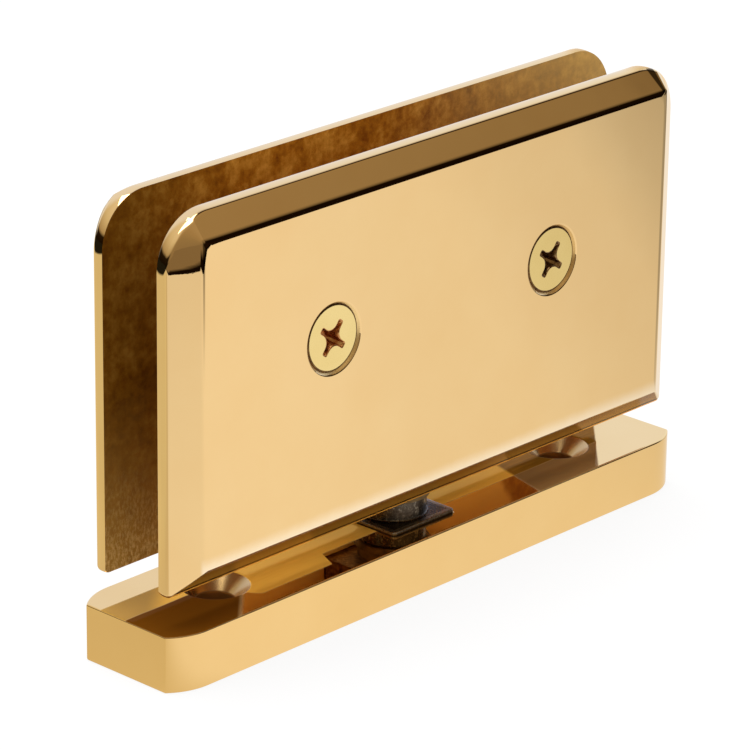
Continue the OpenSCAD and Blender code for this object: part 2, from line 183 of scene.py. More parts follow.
class Finish:
    """A material. add() makes any node: its settings first, then its sockets' values or links."""

    def __init__(self, name, world=False):
        owner = bpy.data.worlds.new(name) if world else bpy.data.materials.new(name)
        owner.use_nodes = True
        self.material, self.tree = owner, owner.node_tree
        self.tree.nodes.clear()

    def add(self, kind, settings=None, sockets=None, out=0):
        made = self.tree.nodes.new(kind)
        for key, value in (settings or {}).items():
            if key == "stops":
                ramp = made.color_ramp
                for i, (at, colour) in enumerate(value):
                    stop = ramp.elements[i] if i < 2 else ramp.elements.new(at)
                    stop.position = at
                    stop.color = (*colour, 1) if np.ndim(colour) else (colour,) * 3 + (1,)
            else:
                setattr(made, key, value)
        for key, value in (sockets or {}).items():
            if isinstance(value, Term):
                self.tree.links.new(value.socket, made.inputs[key])
            else:
                made.inputs[key].default_value = value
        return Term(self, made.outputs[out]) if len(made.outputs) else made

    def place(self):
        """The object's own coordinates x, y and z, in millimetres."""
        where = self.add("ShaderNodeTexCoord", out="Object")
        where = self.add("ShaderNodeVectorMath", {"operation": "SCALE"},
                         {"Vector": where, "Scale": 1 / MM})
        return [self.add("ShaderNodeSeparateXYZ", {}, {"Vector": where}, axis) for axis in "XYZ"]

    def step(self, value, low, high):
        """0 below low and 1 above high, or the other way round when low is the greater."""
        return self.slope(value, min(low, high), max(low, high), float(low > high),
                          float(low < high), "SMOOTHSTEP")

    def slope(self, value, low, high, start=0.0, end=1.0, kind="LINEAR"):
        """start below low, end above high, and a straight line or an S between them."""
        return self.add("ShaderNodeMapRange", {"interpolation_type": kind},
                        {"Value": value, "From Min": low, "From Max": high,
                         "To Min": start, "To Max": end})

    def mix(self, share, first, second, blend="MIX"):
        """share of the second colour over the first. The node's colours are sockets 6 and 7."""
        first, second = [c if isinstance(c, Term) else (*c, 1) for c in (first, second)]
        return self.add("ShaderNodeMix", {"data_type": "RGBA", "blend_type": blend},
                        {0: share, 6: first, 7: second}, out=2)

    def mix_shaders(self, share, first, second):
        """share of the second shader over the first."""
        return self.add("ShaderNodeMixShader", {}, {0: share, 1: first, 2: second})

    def noise(self, scale, detail=3, rough=0.55, stretch=(1, 1, 1)):
        """Cloudy noise in the object's own coordinates, scale in features per metre."""
        where = self.add("ShaderNodeTexCoord", out="Object")
        if stretch != (1, 1, 1):
            where = self.add("ShaderNodeMapping", {}, {"Vector": where, "Scale": stretch})
        return self.add("ShaderNodeTexNoise", {}, {"Vector": where, "Scale": scale,
                                                   "Detail": detail, "Roughness": rough})

    def ramp(self, value, *stops):
        """A colour, or a grey level, for each of the given places of value from 0 to 1."""
        return self.add("ShaderNodeValToRGB", {"stops": stops}, {"Fac": value})

    def bump(self, height, depth, before=None):
        """Dents as deep as depth, in millimetres, on top of the bump before."""
        sockets = {"Height": height, "Distance": depth * MM}
        if before is not None:
            sockets["Normal"] = before
        return self.add("ShaderNodeBump", {}, sockets)

    def surface(self, **sockets):
        """Ends the material in a Principled surface. Underscores stand for spaces."""
        names = {key.replace("_", " "): value for key, value in sockets.items()}
        shader = self.add("ShaderNodeBsdfPrincipled", {}, names)
        self.add("ShaderNodeOutputMaterial", {}, {"Surface": shader})
        return self.material


def polished_brass(name, light, dark, rough=0.004, markings=None):
    """Hand-polished brass under clear lacquer: slight waves from the buffing wheel, faint
    cloudiness in the shine and a slow drift of the colour. An optional function of (finish,
    colour, rough) may change the colour, the roughness and the share of bare metal where a
    piece is different; the ones given for the bar and the plates paint reflections and shade
    into the colour."""
    f = Finish(name)
    cloud = f.noise(55, 4)
    colour = f.ramp(cloud, (0.3, dark), (0.7, light))
    smear = f.noise(900, 2, stretch=(1, 1, 0.25))
    rough = rough + 0.012 * cloud + 0.008 * smear
    metal = 1.0
    if markings:
        colour, rough, metal = markings(f, colour, rough)
    waves = f.bump(f.noise(110, 1), 0.016)
    grain = f.bump(f.noise(4200, 2), 0.0005, before=waves)
    return f.surface(Base_Color=colour, Metallic=metal, Roughness=rough, Normal=grain,
                     Specular_Tint=(1.0, 0.96, 0.88, 1.0), Specular_IOR_Level=0.0)


BASE_L, BASE_D, BASE_H = 130, 24.5, 10.3
BASE_ARC_R, BASE_ARC_RUN, BASE_CREASE, BASE_EDGE = 11, 7.4, 0.5, 0.4
HOLE_X, HOLE_R, SINK_R = 44, 3.3, 6.2
POCKET_HALF, POCKET_CORNER_R, POCKET_FLOOR = 8, 1, 7.7
PIN_SCREW_HOLE_R, PIN_SCREW_SINK_R = 3.3, 6.3


def under_plates(f, colour, rough):
    """The strip of the bar's top between the plates: duller, and painted with a reflection of
    the plates' raw inner sides, orange and streaked along the bar, fading to a browner tone at
    the far left, and painted darker at the right as shade. Painted shade covers the near side
    of both ends. Limits across the bar slant, so they are set on x less a share of y. The
    screw holes are found by the square of the distance from their middle."""
    # Painted reflection in orange, streaked and faded tones; painted shade in brown and near black;
    # a duller brass for the countersink cones, and a dark brown that paints shade in the bores.
    reflected_orange, shade_brown, reflected_streaks = (1.0, 0.52, 0.07), (0.19, 0.085, 0.008), (0.68, 0.30, 0.035)
    reflected_faded, shade_dark = (0.44, 0.24, 0.05), (0.13, 0.042, 0.003)
    turned, dark_hollow = (0.62, 0.40, 0.17), (0.22, 0.09, 0.02)
    x, y, z = f.place()
    streak = f.noise(260, 4, 0.6, stretch=(0.12, 1, 1))
    slant = x - 1.075 * y
    # The right end of the strip is painted darker, as shade.
    left, shaded_right = f.step(x, -40.5, -46.5), f.step(x - 0.27 * y, 28.5, 29.5)
    middle = f.step(x - 0.34 * y, -20.5, -21.1) * (1 - left)
    front = y + 1.2 * streak + 4.2 * (middle - left)
    top = f.step(slant, 55.3, 54.7) * f.step(z, BASE_H - 0.2, BASE_H - 0.1)
    strip = f.step(front, -3.7, -3.3) * f.step(y, 6.2, 5.8) * top
    # Painted shade on the near side of both ends of the strip.
    painted_shade = (f.step(slant, -36, -38) + 0.8 * shaded_right) * f.step(front, -3.3, -3.7) * top
    aside = abs(x) - HOLE_X
    squared = aside * aside + y * y
    bore = f.step(squared, 13, 11.5)
    cone = f.step(squared, 38, 37) * f.step(z, BASE_H - 0.1, BASE_H - 0.2)
    reflection_and_shade = f.mix(shaded_right, reflected_orange, shade_brown)
    reflection_and_shade = f.mix(f.ramp(streak, (0.45, 0.0), (0.7, 0.45)), reflection_and_shade, reflected_streaks)
    reflection_and_shade = f.mix(f.step(slant, -53, -61), reflection_and_shade, reflected_faded)
    markings = f.mix(painted_shade, f.mix(strip, colour, reflection_and_shade), shade_dark)
    # The bores are painted dark brown, as shade inside the holes.
    markings = f.mix(bore, f.mix(cone, markings, turned), dark_hollow)
    dull = strip * (1 - cone)
    return markings, rough + 0.05 * dull + 0.24 * cone, 1.0 - 0.8 * dull - 0.9 * painted_shade - 0.5 * bore


arc_x, arc_y = BASE_L / 2 - BASE_ARC_RUN, BASE_D / 2 - BASE_ARC_R
crease_dx = BASE_L / 2 - BASE_CREASE - arc_x
crease_dy = math.sqrt((BASE_ARC_R - BASE_CREASE) ** 2 - crease_dx ** 2)
crease_a = math.degrees(math.atan2(crease_dy, crease_dx))
rim, rim_out = four_corners([(arc_x + crease_dx, arc_y + crease_dy, BASE_CREASE, 0, crease_a, 6),
                             (arc_x, arc_y, BASE_ARC_R, crease_a, 90, 12)])

base = Skin()
e, h = BASE_EDGE, BASE_H
wall = [(e + 0.2, 0), *bend((e, 0), (0, 0), (0, e)), (0, e + 0.05), (0, h - e - 0.05),
        *bend((0, h - e), (0, h), (e, h)), (e + 0.06, h)]
under, top = base.rings([lift(rim - inward * rim_out, height) for inward, height in wall])
cone_foot = BASE_H - (SINK_R - HOLE_R)
hole = [(SINK_R + 0.2, h), *bend((SINK_R + 0.15, h), (SINK_R, h), (SINK_R - 0.1, h - 0.1), 4),
        (SINK_R - 0.14, h - 0.14), (HOLE_R + 0.15, cone_foot + 0.15),
        (HOLE_R + 0.05, cone_foot + 0.02), (HOLE_R, cone_foot - 0.1), (HOLE_R, 0.2),
        (HOLE_R + 0.15, 0), (HOLE_R + 0.3, 0)]
left_hole, right_hole = [base.rings(turned_rings(x, 0, hole)) for x in (-HOLE_X, HOLE_X)]
middle = POCKET_HALF - POCKET_CORNER_R
pocket, pocket_out = four_corners([(middle, middle, POCKET_CORNER_R, 0, 90, 6)])
mouth, floor_of_pocket = base.rings([lift(pocket + 0.1 * pocket_out, h), lift(pocket, h - 0.1),
                                     lift(pocket, POCKET_FLOOR)])
r, sink = PIN_SCREW_HOLE_R, PIN_SCREW_SINK_R
pin_screw_hole = base.rings(turned_rings(0, 0, [(r, POCKET_FLOOR), (r, sink - r + 0.1),
                                                (sink, 0.1), (sink + 0.15, 0), (sink + 0.3, 0)]))
base.fill(floor_of_pocket, pin_screw_hole[0])
base.fill(top, left_hole[0], right_hole[0], mouth)
base.fill(under, left_hole[1], right_hole[1], pin_screw_hole[1])
gold = polished_brass("polished_brass_base", (0.90, 0.595, 0.245), (0.88, 0.57, 0.225),
                      markings=under_plates)
base.piece("base_bar", [gold], "base", ["base_plate"])


# ---------------------------------------------------------------- clamp plates
# Two bevelled brass plates that clamp the glass. The outer sides are ground to a flat face
# with a bevel all round, and buffed, so the edges between them are soft. The inner sides
# were never polished: they keep the brown skin and the tool marks of the raw bar.

PLATE_L, PLATE_H, PLATE_T, RIM_T = 127, 66, 5.5, 2.0
BEVEL_X, BEVEL_Z, TOP_R, FOOT_R = 5.6, 4.3, 9.5, 1.0
INNER_Y, FOOT_Z = 6.35, 16.2
FACE_X, FACE_FOOT, FACE_TOP = PLATE_L / 2 - BEVEL_X, FOOT_Z + BEVEL_Z, FOOT_Z + PLATE_H - BEVEL_Z
CLAMP_X, CLAMP_Z, MOUTH_R, CLEAR_R = 27.7, 37.4, 6.49, 3.3
BOSS_R, BOSS_H, TAP_R, TAP_WALL = 5, 4.2, 3.02, 1.3
BLOCK_NECK_X, BLOCK_X, BLOCK_LOW, BLOCK_NECK_TOP, BLOCK_TOP = 10.6, 22.1, 1.45, 6.45, 35.65
BLOCK_SUNK = 0.8


def plate_rings():
    """Rings of a plate from its inner side, round the rim and over the bevel, to its face.

    Each point P of the outline is joined to the nearest point Q of the face's rectangle. The
    upper bevel is one plane from end to end of the face, and ends in a crease on each rounded
    corner. Beyond the crease the rim comes down again with the square of the angle, and its
    edge is worn rounder. The edges of this section are rounded by parabolas: rim to bevel, and
    bevel to face, and the rim is crowned."""
    soft, crown, turn = 0.72, 0.12, 2.2
    half = PLATE_L / 2
    low, high = BEVEL_Z, PLATE_H - BEVEL_Z
    fold = math.degrees(math.acos((FACE_X - half + TOP_R) / TOP_R))
    parts = [(0, fold - 0.5, 14), (fold - 0.5, fold, 1), (fold, fold + 0.5, 1), (fold + 0.5, 90, 6)]
    x, z = half - TOP_R, PLATE_H - TOP_R
    p, n = corner_path([[(x, z, TOP_R, a, b, k) for a, b, k in parts],
                        [(-x, z, TOP_R, 180 - b, 180 - a, k) for a, b, k in parts[::-1]],
                        [(FOOT_R - half, FOOT_R, FOOT_R, 180, 270, 8)],
                        [(half - FOOT_R, FOOT_R, FOOT_R, 270, 360, 8)]])
    qx, qz = np.clip(p[:, 0], -FACE_X, FACE_X), np.clip(p[:, 1], low, high)
    angle = np.degrees(np.arctan2(n[:, 1], abs(n[:, 0])))
    way = np.clip(angle / fold, 0, 1)
    climb = (PLATE_T - RIM_T) / BEVEL_Z
    peak = climb * TOP_R * (1 - math.sin(math.radians(fold)))
    rim = RIM_T + np.where(angle > fold - 0.1, climb * (PLATE_H - p[:, 1]), peak * way ** 2)
    shoulder = (0.65 + 0.15 * np.sin(np.pi * way) ** 2)[:, None]
    below = rim - shoulder[:, 0]

    def crowned(height):
        """The outline at a height, drawn in towards both edges: by crown (2h/rim - 1)^2."""
        return lift(p - (crown * (2 * height / rim - 1) ** 2)[:, None] * n, height)

    brink, edge_of_face = lift(p, rim), lift(np.stack([qx, qz], 1), PLATE_T)
    run = edge_of_face - brink
    run /= np.linalg.norm(run, axis=1)[:, None]
    inset = soft + turn
    centre = np.stack([np.clip(qx, inset - FACE_X, FACE_X - inset),
                       np.clip(qz, low + inset, high - inset)], 1)
    on_face, deeper = [lift(centre + reach * n, PLATE_T) for reach in (turn, turn - 0.06)]
    return [lift(p - (crown + 0.3) * n, 0),
            *[crowned(height) for height in np.linspace(0 * below, below - 0.03, 10)],
            *bend(crowned(below), brink, brink + shoulder * run, 7),
            brink + (shoulder + 0.05) * run,
            edge_of_face - (soft + 0.05) * run,
            *bend(edge_of_face - soft * run, edge_of_face, on_face, 8),
            deeper]


def clamp_plate(side, materials, name, stands_for):
    """One plate. side is -1 for the front one and 1 for the rear one: (x, z, height above the
    inner side) becomes (x, side * (inner side + height), foot + z)."""
    skin = Skin(lambda p: np.stack([p[:, 0], side * (INNER_Y + p[:, 2]), FOOT_Z + p[:, 1]], 1))
    stack = plate_rings()
    back, face = skin.rings(stack[:2], slot=1)[0], skin.rings(stack[1:])[1]
    t, m, r, b, h = PLATE_T, MOUTH_R, CLEAR_R, BOSS_R, -BOSS_H
    cone_foot = t - (m - r)
    lip = [(m + 0.2, t), *bend((m + 0.18, t), (m, t), (m - 0.15, t - 0.15), 6)]
    cone = [lip[-1], (m - 0.17, t - 0.17), (r + 0.1, cone_foot + 0.1), (r, cone_foot - 0.05),
            (r, 0.1), (r + 0.1, 0)]
    boss = [(TAP_R, t - TAP_WALL), (TAP_R, h + 0.1), (TAP_R + 0.15, h), (b - 0.25, h),
            *bend((b - 0.2, h), (b, h), (b, h + 0.2), 4), (b, -0.4),
            *bend((b, -0.3), (b, 0), (b + 0.3, 0), 4), (b + 0.4, 0)]
    inner_holes, face_holes = [], []
    for x in (-CLAMP_X, CLAMP_X):
        if side < 0:
            face_holes.append(skin.rings(turned_rings(x, CLAMP_Z, lip))[0])
            inner_holes.append(skin.rings(turned_rings(x, CLAMP_Z, cone), slot=2)[1])
        else:
            tap_end, boss_foot = skin.rings(turned_rings(x, CLAMP_Z, boss), slot=1)
            skin.fill(tap_end, slot=1)
            inner_holes.append(boss_foot)
    half = [(BLOCK_NECK_X, BLOCK_LOW), (BLOCK_NECK_X, BLOCK_NECK_TOP), (BLOCK_X, BLOCK_NECK_TOP),
            (BLOCK_X, BLOCK_TOP)]
    t_shape = half + [(-x, z) for x, z in half[::-1]]
    mouth, bottom = skin.rings([lift(t_shape, 0), lift(t_shape, BLOCK_SUNK)], slot=1)
    skin.fill(bottom, slot=1)
    skin.fill(back, *inner_holes, mouth, slot=1)
    skin.fill(face, *face_holes)
    skin.piece(name, materials, "leaf", stands_for)


def raw_inner(name):
    """The unpolished inner side: a dull brown skin on the brass, mottled, darker towards the
    left and lighter at the upper right. It is rubbed bright in specks low on the left, and
    golden round the foot of the pivot block."""
    f = Finish(name)
    x, _, z = f.place()
    cloud = f.noise(90, 5, 0.65)
    mottle = f.noise(450, 6, 0.72)
    streak = f.noise(500, 3, 0.6, stretch=(1, 1, 0.1))
    speck = f.noise(2400, 4, 0.8, stretch=(0.8, 1, 0.4))
    skin = f.ramp(0.42 * cloud + 0.45 * mottle + 0.13 * streak, (0.38, (0.20, 0.050, 0.002)),
                  (0.5, (0.45, 0.165, 0.010)), (0.61, (0.70, 0.33, 0.045)))
    dark = f.step(x + 10 * cloud, -20, -60)
    light = f.step(x + 20 * mottle, 10, 60) * f.step(z, 35, 60)
    low = f.step(z + 30 * cloud, 65, 35)
    rubbed = f.step(speck, 0.42, 0.64) * f.step(z + 20 * cloud, 48, 20) * f.step(x, -20, -40)
    clean = f.step(abs(x) - 0.6 * z + 4 * cloud, 29.5, 27.5) * f.step(z + 6 * cloud, 36, 28)
    for share, colour in ((0.72 * dark, (0.06, 0.022, 0.001)), (0.5 * light, (0.68, 0.52, 0.20)),
                          (0.35 * low, (0.60, 0.34, 0.08)), (0.6 * rubbed, (0.90, 0.62, 0.22)),
                          (clean, (1.0, 0.66, 0.2))):
        skin = f.mix(share, skin, colour)
    pits = f.bump(mottle, 0.02, before=f.bump(streak, 0.01))
    return f.surface(Base_Color=skin, Metallic=0.3, Roughness=0.45 + 0.2 * cloud,
                     Specular_IOR_Level=0.05, Normal=pits)


def painted_edge_reflections(f, colour, rough):
    """The plate's edges with reflections painted into the colour. The lower edge of the face is
    painted pale as a highlight, and the bevel below it is duller, painted brown with dark and
    orange bands along both sides of the plate's foot as reflections. A dark line is painted
    along the upright edges of the face and up the right crease as a reflection, and the rim
    beyond the crease is painted a darker tan as a reflection and made duller."""
    # Colours of painted light: a pale highlight, a darker tan reflection, and near-black and orange
    # reflection bands and lines.
    painted_highlight, painted_tan_reflection, painted_dark_line = (1.0, 0.79, 0.52), (0.46, 0.28, 0.09), (0.03, 0.015, 0.004)
    painted_dark_band, reflected_orange = (0.03, 0.012, 0.002), (0.95, 0.42, 0.06)
    mitre, front = 1.3, -INNER_Y - RIM_T
    x, y, z = f.place()
    cloud = f.noise(300, 3)
    aside, depth = abs(x), abs(y)
    # Painted highlight along the lower edge of the face.
    edge = f.step(z + 0.8 * cloud, FACE_FOOT + 3.1, FACE_FOOT + 0.3) * f.step(depth, 11.3, 11.7)
    corner = FACE_X + mitre * FACE_FOOT
    bevel = (f.step(z, FACE_FOOT - 0.1, FACE_FOOT - 0.4)
             * f.step(aside + mitre * z, corner - 0.15, corner - 0.55))
    # Painted reflection along the foot: dark, orange and dark bands, then brown over the bevel.
    foot = f.ramp(f.slope(z + 0.2 * cloud, 16, 21), (0.05, painted_dark_band), (0.10, reflected_orange), (0.17, reflected_orange),
                  (0.22, painted_dark_band), (0.27, painted_dark_band), (0.32, (0.36, 0.16, 0.018)),
                  (0.75, (0.25, 0.10, 0.012)))
    colour = f.mix(bevel, f.mix(edge, colour, painted_highlight), foot)
    # Painted dark reflection line up the upright edges of the face and the right crease.
    upright = (f.step(abs(aside - (FACE_X + 0.1)), 0.28, 0.04) * f.step(z, 52, 82)
               * f.step(z, FACE_TOP + 0.6, FACE_TOP - 0.4))
    rise = z - FACE_TOP
    crease = f.step(abs(x + 0.2 * rise - (FACE_X - 0.6)) - (0.3 + 0.13 * rise), 0.2, -0.1)
    line = (upright + crease * f.step(rise, -0.2, 0)) * f.step(y, front - 0.05, front - 0.25)
    # Painted darker reflection on the rim beyond the right crease.
    dull = f.step(depth, 8.6, 8.3) * f.step(x, 50, 57) * f.step(z, 70, 77)
    colour = f.mix(0.9 * line, f.mix(dull, colour, painted_tan_reflection), painted_dark_line)
    return colour, rough + 0.15 * bevel, 1.0 - 0.5 * bevel - 0.6 * dull


gold = polished_brass("polished_brass_plates", (0.90, 0.62, 0.29), (0.88, 0.59, 0.265),
                      markings=painted_edge_reflections)
raw = raw_inner("raw_brass_inner_side")
cut = polished_brass("cutter_finished_cones", (0.95, 0.68, 0.30), (0.70, 0.42, 0.14), 0.35)
clamp_plate(-1, [gold, raw, cut], "clamp_plate_front", ["front_plate"])
clamp_plate(1, [gold, raw], "clamp_plate_rear", ["rear_plate"])


# ---------------------------------------------------------------- clamp screws
# Two countersunk machine screws of plated brass, each with a cross recess that was punched
# cold, which leaves its walls drafted and its edges round. The plating is thin in the recess.

HEAD_R, HEAD_SUNK, HEAD_H, SHANK_R, SCREW_L = 6, 0.35, 3, 3, 21.74


def cross_path(reach, width):
    """Outline of a cross with rounded ends and hollow corners between its four wings: the two
    arcs of a wing's end and the hollow arc after it, turned by a quarter each time."""
    w, end, hollow = width / 2, width * 0.3, 0.5 * reach
    quarter = [(reach - end, end - w, end, -90, 0, 4), (reach - end, w - end, end, 0, 90, 4),
               (w + hollow, w + hollow, -hollow, 90, 0, 5)]
    groups = []
    for turn in (0, 90, 180, 270):
        c, s = math.cos(math.radians(turn)), math.sin(math.radians(turn))
        groups += [[(x * c - y * s, x * s + y * c, radius, a0 + turn, a1 + turn, steps)]
                   for x, y, radius, a0, a1, steps in quarter]
    return corner_path(groups, support=0.02)[0]


def clamp_screw(x, turn, name, stands_for, materials):
    """A screw whose head's top is at h = 0: (u, v, h) becomes (x + u', top - h, z + v'), where
    u' and v' are u and v turned by turn degrees."""
    c, s = math.cos(math.radians(turn)), math.sin(math.radians(turn))
    top = HEAD_SUNK - INNER_Y - PLATE_T
    skin = Skin(lambda p: np.stack([x + p[:, 0] * c + p[:, 1] * s, top - p[:, 2],
                                    FOOT_Z + CLAMP_Z - p[:, 0] * s + p[:, 1] * c], 1))
    r = HEAD_R
    outer, _ = skin.rings(turned_rings(0, 0, [(r - 0.5, 0), (r - 0.34, 0)]))
    profile = [(r - 0.34, 0), *bend((r - 0.3, 0), (r, 0), (r - 0.02, -0.3), 6), (r - 0.08, -0.36),
               (SHANK_R + 0.1, -HEAD_H), (SHANK_R, -HEAD_H - 0.2), (SHANK_R, 0.54 - SCREW_L),
               (SHANK_R - 0.5, -SCREW_L)]
    # The rounded edge of the head and all below it take the third material, which is near black as
    # painted shade of the groove round the head.
    _, end = skin.rings(turned_rings(0, 0, profile), slot=2)
    skin.fill(end, slot=2)
    recess = [(3.45, 1.26, 0), (3.35, 1.16, 0), (3.25, 1.04, -0.05), (3.18, 0.96, -0.16),
              (2.65, 0.86, -0.9), (1.95, 0.72, -1.8), (1.2, 0.5, -2.5)]
    mouth, bottom = skin.rings([lift(cross_path(reach, width), height)
                                for reach, width, height in recess], slot=1)
    skin.fill(outer, mouth)
    skin.fill(bottom, slot=1)
    skin.piece(name, materials, "leaf", stands_for)


def thin_plating(name, bare, plated):
    """Thin, scuffed plating, with the red brass showing through: a cloudy mix of the bare and
    the plated colour. With the darkest colours it is painted shade round the screws' heads.
    """
    f = Finish(name)
    markings = f.noise(1500, 4)
    colour = f.ramp(markings, (0.35, bare), (0.65, plated))
    return f.surface(Base_Color=colour, Metallic=1.0, Roughness=0.22 + 0.2 * markings,
                     Normal=f.bump(markings, 0.03))


head = polished_brass("polished_brass_screws", (0.90, 0.69, 0.29), (0.80, 0.58, 0.21), 0.09)
rubbed = thin_plating("rubbed_recess", (0.40, 0.12, 0.03), (0.75, 0.42, 0.16))
dark_hollow = thin_plating("oily_recess", (0.10, 0.035, 0.01), (0.50, 0.32, 0.14))
# Painted shade: the rounded edge of each head, its underside and the shank are near black, standing
# for the shade in the groove between the head and its countersink.
groove_shade = thin_plating("painted_groove_shade", (0.07, 0.03, 0.01), (0.22, 0.12, 0.04))
clamp_screw(-CLAMP_X, 37, "clamp_screw_head_left", ["clamp_screw_left"], [head, rubbed, groove_shade])
clamp_screw(CLAMP_X, 35, "clamp_screw_head_right", ["clamp_screw_right"], [head, dark_hollow, groove_shade])


# ---------------------------------------------------------------- spindle
# One piece of turned and milled steel, chemically blackened, with a square flange that sits in
# the base bar. Handling has worn it grey along the edges and in scratches.

FLANGE_HALF, FLANGE_CORNER_R, FLANGE_EDGE, FLANGE_TOP = 7.9, 0.9, 0.3, 11
COLLAR_R, COLLAR_TOP, SHAFT_R, SHAFT_TOP = 6.1, 14.6, 5, 39.45
FLATS_HALF, FLATS_LOW, FLATS_HIGH = 4.6, 29.75, 38.75
NECK_R, NECK_TOP, GROOVE_R, GROOVE_TOP, TIP_R, TIP_TOP = 4, 47.1, 3.7, 48.1, 3.5, 49.05
TAP_TOP = 18.7


def blackened(name):
    """Black oxide on steel: dark brown-grey, finely pitted, worn to grey along the flange's
    edges and in bright scratches round the collar."""
    f = Finish(name)
    x, y, z = f.place()
    mottle = f.noise(2200, 5, 0.65)
    scratch = f.noise(1100, 5, 0.75, stretch=(1, 1, 0.6))
    out = abs(x).larger(abs(y))
    rim = (f.step(out + 0.3 * mottle, FLANGE_HALF - 1, FLANGE_HALF - 0.75)
           * f.step(z, FLANGE_TOP - 0.7, FLANGE_TOP - 0.2))
    bright = f.step(scratch, 0.5, 0.7) * f.step(z, FLANGE_TOP + 0.1, FLANGE_TOP + 0.3)
    markings = bright.larger(0.7 * rim)
    dark = f.ramp(mottle, (0.3, (0.055, 0.042, 0.030)), (0.7, (0.12, 0.092, 0.065)))
    return f.surface(Base_Color=f.mix(markings, dark, (0.46, 0.39, 0.29)), Metallic=1.0,
                     Roughness=0.34 - 0.12 * mottle,
                     Normal=f.bump(scratch, 0.01, before=f.bump(mottle, 0.02)))


spindle = Skin()
middle = FLANGE_HALF - FLANGE_CORNER_R
square, square_out = four_corners([(middle, middle, FLANGE_CORNER_R, 0, 90, 8)])
e, foot, top = FLANGE_EDGE, POCKET_FLOOR, FLANGE_TOP
flange = [(e + 0.3, foot), *bend((e, foot), (0, foot), (0, foot + e), 4), (0, top - e - 0.05),
          *bend((0, top - e), (0, top), (e, top), 5), (e + 0.05, top)]
under_flange, on_flange = spindle.rings([lift(square - inward * square_out, height)
                                         for inward, height in flange])
r, high = COLLAR_R, COLLAR_TOP
collar = [(r + 0.5, top), *bend((r + 0.4, top), (r, top), (r, top + 0.4), 4), (r, high - 0.25),
          *bend((r, high - 0.2), (r, high), (r - 0.2, high), 3)]
flats = [(SHAFT_R, height) for height in (FLATS_LOW - 0.05, FLATS_LOW, FLATS_LOW + 0.01,
                                          FLATS_HIGH - 0.01, FLATS_HIGH)]
shaft = [(SHAFT_R + 0.1, high), (SHAFT_R, high + 0.1), *flats, (SHAFT_R, SHAFT_TOP - 0.05),
         (SHAFT_R - 0.05, SHAFT_TOP)]
neck = [(NECK_R + 0.05, SHAFT_TOP), (NECK_R, SHAFT_TOP + 0.05), (NECK_R, NECK_TOP),
        (GROOVE_R, NECK_TOP), (GROOVE_R, GROOVE_TOP), (NECK_R, GROOVE_TOP), (TIP_R, TIP_TOP)]
rings = turned_rings(0, 0, collar + shaft + neck, 96)
milled = (rings[:, :, 2] > FLATS_LOW + 0.005) & (rings[:, :, 2] < FLATS_HIGH - 0.005)
rings[:, :, 0] = np.where(milled, np.clip(rings[:, :, 0], -FLATS_HALF, FLATS_HALF), rings[:, :, 0])
collar_foot, tip = spindle.rings(rings)
tap, tap_end = spindle.rings(turned_rings(0, 0, [(TAP_R, POCKET_FLOOR), (TAP_R, TAP_TOP)]))
spindle.fill(on_flange, collar_foot)
spindle.fill(tip)
spindle.fill(under_flange, tap)
spindle.fill(tap_end)
spindle.piece("spindle_pin", [blackened("blackened_steel")], "base", ["spindle"])


# ---------------------------------------------------------------- pivot block and inner pieces
# The block is a brass casting, machined only in its bores. The bushes are sintered bronze, and
# the screws, plungers, springs, washer and ring are plain steel. None of them was polished.

def cast_brass(name):
    """Rough cast brass, dark brown with grains of bare metal."""
    f = Finish(name)
    grain = f.noise(1300, 4, 0.65)
    cloud = f.noise(150, 3)
    colour = f.ramp(0.6 * grain + 0.4 * cloud, (0.38, (0.11, 0.05, 0.014)),
                    (0.52, (0.26, 0.14, 0.045)), (0.68, (0.50, 0.31, 0.12)))
    return f.surface(Base_Color=colour, Metallic=1.0, Roughness=0.62 - 0.15 * grain,
                     Normal=f.bump(grain, 0.08))


def sintered_bronze(name):
    """Oil-soaked bearing bronze: fine pores and a dull greenish brown."""
    f = Finish(name)
    where = f.add("ShaderNodeTexCoord", out="Object")
    pores = f.add("ShaderNodeTexVoronoi", {}, {"Vector": where, "Scale": 3500})
    cloud = f.noise(400, 3)
    colour = f.ramp(cloud, (0.35, (0.15, 0.095, 0.04)), (0.65, (0.30, 0.20, 0.09)))
    return f.surface(Base_Color=colour, Metallic=1.0, Roughness=0.5 + 0.1 * cloud,
                     Normal=f.bump(pores, 0.02))


def plain_steel(name):
    """Turned steel: fine tool rings, and a light film of oil."""
    f = Finish(name)
    lines = f.noise(5000, 2, stretch=(0.2, 1, 1))
    cloud = f.noise(500, 3)
    colour = f.ramp(cloud, (0.3, (0.42, 0.42, 0.42)), (0.7, (0.58, 0.57, 0.56)))
    return f.surface(Base_Color=colour, Metallic=1.0, Roughness=0.28 + 0.12 * cloud,
                     Normal=f.bump(lines, 0.004))


inner_pieces = {
    cast_brass("cast_brass"):
        ["pivot_block", "end_cap", "spring_plug_left", "spring_plug_right"],
    sintered_bronze("sintered_bronze"):
        ["thrust_washer", "lower_bush", "upper_bush"],
    plain_steel("plain_steel"):
        ["spindle_screw", "retaining_washer", "retaining_ring", "block_screws", "spring_left",
         "spring_right", "plunger_left", "plunger_right"]}
for material, names in inner_pieces.items():
    for name in names:
        node[name].data.materials[0] = material


# ---------------------------------------------------------------- studio
# A sheet of white paper under the hinge, a bright wall behind it, and a dim room in front.
# A wide soft lamp hangs above. Only reflections see how the light of paper and room falls off.

WHITE, SEAM, SHADE = (1, 1, 1), (0.03, 0.02, 0.01), (0.012, 0.006, 0.002)

